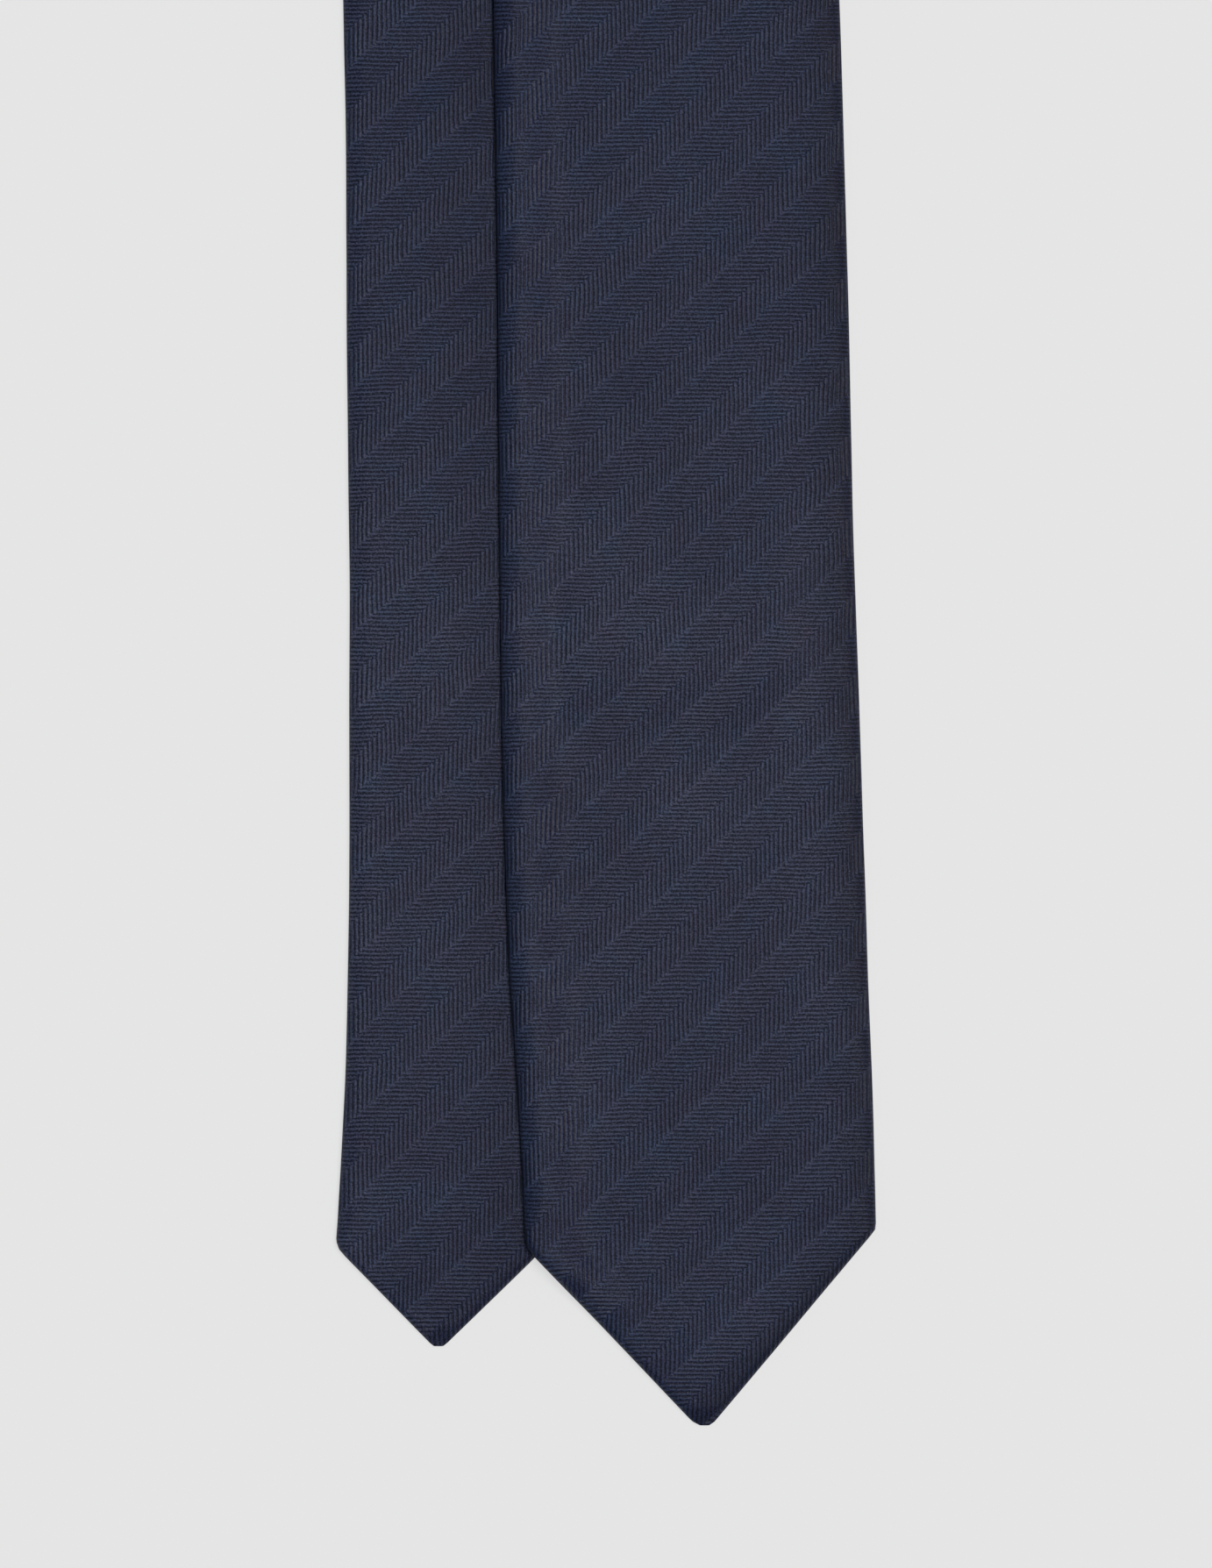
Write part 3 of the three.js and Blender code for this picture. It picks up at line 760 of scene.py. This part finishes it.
LIFT_STRETCH = (LIFT_LINE_Y - BEND_REACH - 2, LIFT_LINE_Y + BEND_REACH + 2)


def declare_cloth(blade, start, end):
    """Works out the widths of a blade's shell cloth, a sheet twice as wide as its blade plus its back
    seam's allowance; nothing uses them.
    """
    widths = [blade.width(y) for y in np.linspace(start, end, 60)]
    folded_widths = [2 * blade.width(y) + SEAM_CLOTH for y in np.linspace(start, end, 200)]


def blade_stations(blade, fine_end, end, stretches):
    """Stations that are closest at the tip and the stretches, and close up to fine_end."""
    tip_end = blade.tip + 4.0
    ys = stations(blade.tip, end, 4.0, [(blade.tip, tip_end), *stretches], 0.75)
    return sorted(set(ys) | set(np.arange(tip_end, fine_end, 1.5)))


def make_front_shell():
    ys = blade_stations(front_blade, 60.0, FRONT_SEAM_Y - FRONT_SEAM_RUN, [LIFT_STRETCH])
    rings = straight(ys) + [(FRONT_SEAM_Y - FRONT_SEAM_RUN / 2, 0.5), (FRONT_SEAM_Y - SEAM_GAP, 1.0)]
    obj = shell("front_shell", front_blade, rings, seed=1.0)
    finish_piece(obj, front_weave, "shell_weave", ["front_shell_lower", "front_shell_upper"],
                 blend=lift_blend())
    declare_cloth(front_blade, FRONT_TIP_Y, FRONT_SEAM_Y)


def make_tail_shell():
    ys = blade_stations(tail_blade, 56.0, TAIL_SEAM_Y - TAIL_SEAM_RUN, [])
    rings = straight(ys) + [(TAIL_SEAM_Y - TAIL_SEAM_RUN / 2, -0.5), (TAIL_SEAM_Y - SEAM_GAP, -1.0)]
    obj = shell("tail_shell_cloth", tail_blade, rings, seed=11.0)
    finish_piece(obj, tail_weave, "shell_weave", ["tail_shell"], ride="tail_blade")
    declare_cloth(tail_blade, TAIL_TIP_Y, TAIL_SEAM_Y)


def make_neck_shell(name, blade, seam_y, seam_run, lean, seed, node, body):
    """Neck cloth from the diagonal seam to the neck fold; lean is which way the seam slants."""
    ys = stations(seam_y + seam_run, NECK_Y - 20, 4.0)
    rings = [(seam_y + SEAM_GAP, lean), (seam_y + seam_run / 2, lean / 2)]
    rings += straight(ys) + [(NECK_Y, -lean)]
    obj = shell(name, blade, rings, seed)
    finish_piece(obj, neck_weave, "neck_weave", [node], ride=body)
    declare_cloth(blade, seam_y, NECK_Y)


def fold_over(obj):
    """Turns the neck band over the tail's 45 degree line, to lie on top of the tail."""
    pivot = Vector(place([(TAIL_NECK_X, NECK_Y, 0)])[0]) + Vector((0, 0, (THICKNESS + LAYER) * MM))
    turn = Matrix.Rotation(math.pi, 4, Vector((1, 1, 0)).normalized())
    obj.data.transform(Matrix.Translation(pivot) @ turn @ Matrix.Translation(-Vector(ORIGIN)))


def make_neck_band():
    steps = np.linspace(0, 1, 12)
    rings = [(BAND_LENGTH * t, 1.0 - 2.0 * t) for t in steps]
    obj = shell("neck_cloth_band", band_strip, rings, seed=41.0)
    fold_over(obj)
    finish_piece(obj, neck_weave, "neck_weave", ["neck_shell"], ride="neck_band")


def make_crease(name, centre_x, direction, base):
    """The cloth that wraps round a 45 degree fold, from the lower layer's outside to the upper's.

    Its ends close towards the sharp corner of the lower layer at one end, of the upper at the other."""
    radius, rounding, bulge, columns = THICKNESS + GAP / 2, 4.0, 0.75, 15
    length = 2 * (NECK_HALF - CREASE_INSET) * math.sqrt(2)
    run = Vector((*direction, 0)).normalized()
    outward = Vector((-run.y, run.x, 0))
    near_end = np.array([0, 0.4, 1.0, 1.8, 2.8, 4.0])
    rows = np.concatenate([near_end, np.linspace(7, length - 7, 14), length - near_end[::-1]])
    points, weave = [], []
    for d in rows:
        from_end = min(1, min(d, length - d) / rounding)
        full = math.sqrt(max(0.0, 1 - (1 - from_end) ** 2)) * 0.88 + 0.12
        towards_corner = (radius - EDGE_HEIGHT) * (1 - full) * (1 if d < length / 2 else -1)
        middle = Vector((centre_x, NECK_Y, base + radius + towards_corner)) + run * (d - length / 2)
        for angle in np.linspace(-math.pi / 2, math.pi / 2, columns):
            out, up = radius * full * math.cos(angle), radius * full * math.sin(angle)
            points.append(tuple(middle + outward * (out * bulge) + Vector((0, 0, up))))
            weave.append((radius * angle, d))
    faces = [tuple(reversed(f)) if outward.cross(run).z > 0 else f
             for f in grid_faces(len(rows), columns)]
    obj = new_object(name, place(points), faces, weave)
    thicken(obj, FABRIC)
    finish_piece(obj, neck_weave, "neck_weave")
    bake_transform(obj)


# ---- Inside pieces --------------------------------------------------------------------

def declare_layer(blade, start, end):
    """Works out the widths of an inside layer, a sheet of its blade's width; nothing uses them."""
    widths = [blade.width(y) for y in np.linspace(start, end, 60)]


def make_interlining(name, blade, stretches, lean, nodes, **motion):
    """Wool from just above the tip to the neck fold; lean is which way the fold slants."""
    start = blade.tip + WOOL_FROM_TIP
    rings = straight(stations(start, NECK_Y - 20, 6.0, stretches)) + [(NECK_Y - 0.5, lean)]
    obj = flat_layer(name, blade, rings, WOOL_LOW, WOOL_HIGH)
    finish_piece(obj, interlining_wool, "interlining_wool", nodes, **motion)
    declare_layer(blade, start, NECK_Y)


def make_neck_interlining():
    rings = [(0.5 + (BAND_LENGTH - 1) * t, 1.0 - 2.0 * t) for t in np.linspace(0, 1, 8)]
    obj = flat_layer("neck_interlining_wool", band_strip, rings, WOOL_LOW, WOOL_HIGH)
    fold_over(obj)
    finish_piece(obj, interlining_wool, "interlining_wool", ["neck_interlining"], ride="neck_band")


def make_tipping(node, blade, body, start, length):
    """The lining of a pointed end, which passes over the tucked flap towards the bar tack."""
    end = start + length

    def over_flap(y):
        return FABRIC * float(smooth(end - 20, end - 11, y))

    rings = straight(stations(start, end, 3.0))
    low, high = TUCK_RISE, TUCK_RISE + TIPPING_CLOTH
    obj = flat_layer(node + "_satin", blade, rings, low, high, rise=over_flap)
    finish_piece(obj, tipping_satin, "tipping_satin", [node], ride=body)
    declare_layer(blade, start, end)


# ---- Stitching, keeper and labels -----------------------------------------------------

def slip_stitches(blade, start, end, pitch=7.0):
    """Slanting hand stitches along the folded back edge."""
    paths = []
    for k, y in enumerate(np.arange(start, end, pitch)):
        _, _, centre = blade.edges(y)
        lean = 1.6 + 0.5 * noise.noise(Vector((k * 1.7, 0.3, 0.0)))
        fold = centre + SEAM_OVERLAP
        lift = float(blade.height(centre, y))
        paths.append([(fold - 0.9, y, lift + 0.22), (fold - 0.6, y + 0.2, lift - 0.06),
                      (fold + 0.2, y + lean / 2, lift - 0.08),
                      (fold + 1.2, y + lean - 0.2, lift + 0.10), (fold + 1.5, y + lean, lift + 0.4)])
    return paths


def make_stitching():
    """The back seams: the front's leaves out the keeper."""
    last = NECK_Y - 24
    paths = slip_stitches(front_blade, FRONT_CLOSED_Y + 7, KEEPER_Y - 14)
    paths += slip_stitches(front_blade, KEEPER_Y + 12, last)
    obj = tube_along("front_slip_stitch", paths, STITCH_RADIUS)
    finish_piece(obj, navy_thread, "sewing_thread",
                 ["front_slip_stitch_lower", "front_slip_stitch_upper"], blend=lift_blend())
    paths = slip_stitches(tail_blade, TAIL_CLOSED_Y + 7, last)
    obj = tube_along("tail_slip_stitches", paths, STITCH_RADIUS)
    finish_piece(obj, navy_thread, "sewing_thread", ["tail_slip_stitch"], ride="tail_blade")
    paths = slip_stitches(band_strip, 6, BAND_LENGTH - 6)
    obj = tube_along("band_slip_stitches", paths, STITCH_RADIUS)
    fold_over(obj)
    finish_piece(obj, navy_thread, "sewing_thread", ["neck_slip_stitch"], ride="neck_band")


def make_bar_tack(name, blade, y, half, nodes, body):
    """Close wraps of thread that hold the two back flaps together, with a bar at each end."""
    _, _, centre = blade.edges(y)
    paths = []
    for k in range(9):
        wrap_y = y - 1.2 + 0.3 * k
        paths.append([(centre - half + 2 * half * t, wrap_y + 0.1 * math.sin(5 * t + k),
                       0.3 - 0.42 * math.sin(math.pi * t)) for t in np.linspace(0, 1, 7)])
    for side in (-1, 1):
        x = centre + side * (half - 0.4)
        paths.append([(x, y - 1.8, 0.05), (x, y, -0.12), (x, y + 1.8, 0.05)])
    obj = tube_along(name, paths, STITCH_RADIUS)
    finish_piece(obj, navy_thread, "sewing_thread", nodes, ride=body)


def keeper_line(half, top):
    """The keeper strap seen from its edge, as (x, z): flat, with both ends turned in under it."""
    bend = top / 2
    arc = np.linspace(-math.pi / 2, math.pi / 2, 7)
    right_end = [(half - bend + bend * math.cos(a), bend + bend * math.sin(a)) for a in arc]
    left_end = [(-x, z) for x, z in reversed(right_end)]
    flat = [(x, 0.0) for x in np.linspace(-half + 4, half - 4, 14)]
    turned = half - KEEPER_TURN
    return [(-turned, top)] + left_end + flat + right_end + [(turned, top)]


def make_keeper():
    """The keeper: a strap of shell cloth, which is tacked at both ends."""
    _, _, centre = front_blade.edges(KEEPER_Y)
    half, top = KEEPER_LENGTH / 2, 2 * KEEPER_CLOTH + GAP
    line = keeper_line(half, top)
    across = np.concatenate([[-0.5, -0.48, -0.42], np.linspace(-0.3, 0.3, 5), [0.42, 0.48, 0.5]])
    points, weave = [], []
    run = 0.0
    for k, (x, z) in enumerate(line):
        if k:
            run += math.hypot(x - line[k - 1][0], z - line[k - 1][1])
        inward = 1 if z < top / 2 else -1
        for a in across:
            curl = 0.14 * float(smooth(0.4, 0.5, abs(a)))
            points.append((centre + x, KEEPER_Y + a * KEEPER_WIDTH, z + curl * inward))
            weave.append((run, a * KEEPER_WIDTH))
    obj = new_object("keeper_strap", place(points), grid_faces(len(line), len(across)), weave)
    thicken(obj, KEEPER_CLOTH)
    finish_piece(obj, tail_weave, "shell_weave", ["keeper_loop"], ride="front_lower")
    make_keeper_tack("keeper_tack_left", centre - half, -1)
    make_keeper_tack("keeper_tack_right", centre + half, 1)


def make_keeper_tack(node, x, side):
    """Stitches from a keeper end up into the front blade's back."""
    paths = []
    for k in range(6):
        y = KEEPER_Y - 1.8 + 0.72 * k
        paths.append([(x - side * 1.4, y, 0.02), (x - side * 0.4, y, -0.05),
                      (x + side * 0.4, y + 0.1, 0.3), (x + side * 1.0, y + 0.1, 1.1),
                      (x + side * 1.3, y + 0.15, 1.5)])
    obj = tube_along(node + "_thread", paths, 0.16)
    finish_piece(obj, navy_thread, "sewing_thread", [node], ride="front_lower")


def make_label(name, node, y0, y1, half, body):
    """A blank satin label, with a row of stitches along each end."""
    _, _, centre = front_blade.edges((y0 + y1) / 2)
    xs, ys = np.linspace(-half, half, 17), np.linspace(y0, y1, 9)
    points, weave = [], []
    for y in ys:
        for x in xs:
            rim = float(smooth(0.8, 1.0, abs(x) / half))
            wave = 0.05 * noise.noise(Vector((x / 6, y / 5, 2.0)))
            points.append((centre + x, y, 0.16 + wave + 0.12 * rim))
            weave.append((x, y))
    faces = [tuple(reversed(f)) for f in grid_faces(len(ys), len(xs))]
    obj = new_object(name, place(points), faces, weave)
    thicken(obj, 0.25)
    finish_piece(obj, label_satin, "label_satin", [node], ride=body)
    paths = []
    for side in (-1, 1):
        for y in np.arange(y0 + 0.9, y1 - 0.9, 1.4):
            x = centre + side * (half - 0.7)
            paths.append([(x, y, 0.34), (x, y + 0.15, 0.10), (x, y + 0.75, 0.08), (x, y + 0.9, 0.34)])
    stitches = tube_along(name + "_stitches", paths, 0.12)
    finish_piece(stitches, navy_thread, "sewing_thread", ride=body)


# ---- The tie --------------------------------------------------------------------------

set_up_view()
set_up_light()
make_floor()
make_front_shell()
make_tail_shell()
make_neck_shell("neck_cloth_front", front_blade, FRONT_SEAM_Y, FRONT_SEAM_RUN, 1.0, 21.0,
                "neck_shell_front_side", "front_upper")
make_neck_shell("neck_cloth_tail", tail_blade, TAIL_SEAM_Y, TAIL_SEAM_RUN, -1.0, 31.0,
                "neck_shell_tail_side", "tail_blade")
make_neck_band()
make_crease("neck_fold_tail", TAIL_NECK_X, (1, 1), 0.0)
make_crease("neck_fold_front", FRONT_NECK_X, (1, -1), LAYER)
make_interlining("front_interlining", front_blade, [LIFT_STRETCH], -1.0,
                 ["front_interlining_lower", "front_interlining_upper"], blend=lift_blend())
make_interlining("tail_interlining_wool", tail_blade, [], 1.0, ["tail_interlining"], ride="tail_blade")
make_neck_interlining()
make_tipping("front_tipping", front_blade, "front_lower", 7.0, 95.0)
make_tipping("tail_tipping", tail_blade, "tail_blade", 25.0, 52.0)
make_stitching()
make_bar_tack("front_tack_thread", front_blade, 102.5, 4.0, ["front_bar_tack"], "front_lower")
make_bar_tack("tail_tack_thread", tail_blade, 77.0, 3.0, ["tail_bar_tack"], "tail_blade")
make_keeper()
make_label("woven_label_blank", "woven_label", 47.0, 59.0, 14.0, "front_lower")
make_label("care_label_blank", "care_label", 63.0, 77.0, 5.3, "front_lower")
